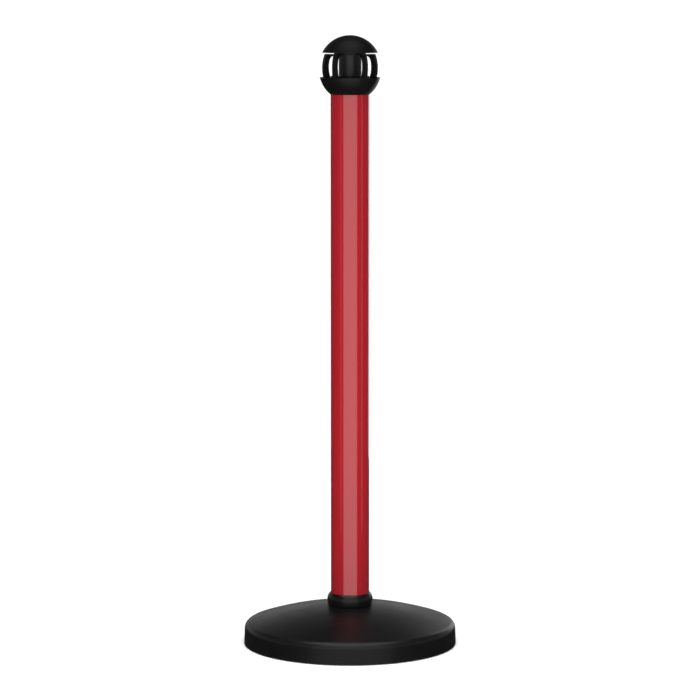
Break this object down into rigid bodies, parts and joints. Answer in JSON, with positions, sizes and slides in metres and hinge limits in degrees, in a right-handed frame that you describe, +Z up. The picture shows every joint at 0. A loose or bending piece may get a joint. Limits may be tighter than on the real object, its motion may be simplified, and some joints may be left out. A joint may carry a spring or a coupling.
{
  "type": "retractable belt stanchion",
  "caption": "Free-standing barrier post: weighted round base, straight tube and an open ball head whose hooks surround a sprung belt reel.",
  "frame": {"origin": "on the floor under the middle of the round base", "axes": "+Z up the tube; +Y is the way the belt is drawn out, away from the front; +X to the right seen from the front"},
  "size_m": [0.35, 0.35, 1],
  "materials": {
    "foot_rubber": "matt moulded rubber",
    "base_iron": "rough cast iron, dip painted",
    "cover_plastic": "satin black moulding",
    "collar_plastic": "satin black moulding",
    "tube_red": "smooth glossy red coating",
    "head_plastic": "satin black moulding",
    "reel_plastic": "smooth black moulding",
    "bush_plastic": "natural acetal",
    "belt_webbing": "black woven webbing",
    "clip_plastic": "black moulding, slightly glossy",
    "tongue_steel": "pressed steel, black coated",
    "zinc_steel": "bright zinc-plated steel",
    "spring_steel": "blued spring steel",
    "plug_alloy": "turned aluminium",
    "insert_brass": "turned brass"
  },
  "bodies": {
    "post": {"rubber_foot_ring": "foot_rubber", "base_weight": "base_iron", "base_cover": "cover_plastic", "base_washer": "zinc_steel", "plug_washer": "zinc_steel", "base_bolt": "zinc_steel", "base_nut": "zinc_steel", "tube": "tube_red", "tube_plug": "plug_alloy", "base_collar": "collar_plastic", "head_bowl": "head_plastic", "hook_cage": "head_plastic", "spring_case": "reel_plastic", "power_spring": "spring_steel", "spindle": "zinc_steel", "spindle_washer": "zinc_steel", "spindle_nut": "zinc_steel", "thrust_washer": "bush_plastic", "belt_lead": "belt_webbing", "belt_mouth": "clip_plastic", "dome_cap": "head_plastic", "dome_plate": "head_plastic", "dome_insert": "insert_brass", "cage_screws": "zinc_steel", "case_screws": "zinc_steel", "dome_screws": "zinc_steel"},
    "reel": {"spool": "reel_plastic", "spool_top_flange": "reel_plastic", "lower_bush": "bush_plastic", "upper_bush": "bush_plastic", "belt_roll": "belt_webbing"},
    "belt_end": {"clip_body": "clip_plastic", "clip_pin": "zinc_steel", "tongue_pin": "zinc_steel", "belt_tail": "belt_webbing"},
    "tongue": {"hook_tongue": "tongue_steel"}
  },
  "joints": [
    {"name": "belt_pull", "type": "slide", "parent": "post", "child": "belt_end", "axis": [0, 1, 0], "range_m": [0, 1.8], "stiffness_N_per_m": 1.5, "springref_m": -4},
    {"name": "reel_spin", "type": "hinge", "parent": "post", "child": "reel", "pos_m": [0, 0, 0.95], "axis": [0, 0, 1], "range_deg": [0, 8000]},
    {"name": "tongue_fold", "type": "hinge", "parent": "belt_end", "child": "tongue", "pos_m": [0, 0.04545, 0.9678], "axis": [1, 0, 0], "range_deg": [0, 95]}
  ],
  "couplings": [
    {"joint": "reel_spin", "follows": "belt_pull", "rad_per_m": 76.6}
  ]
}
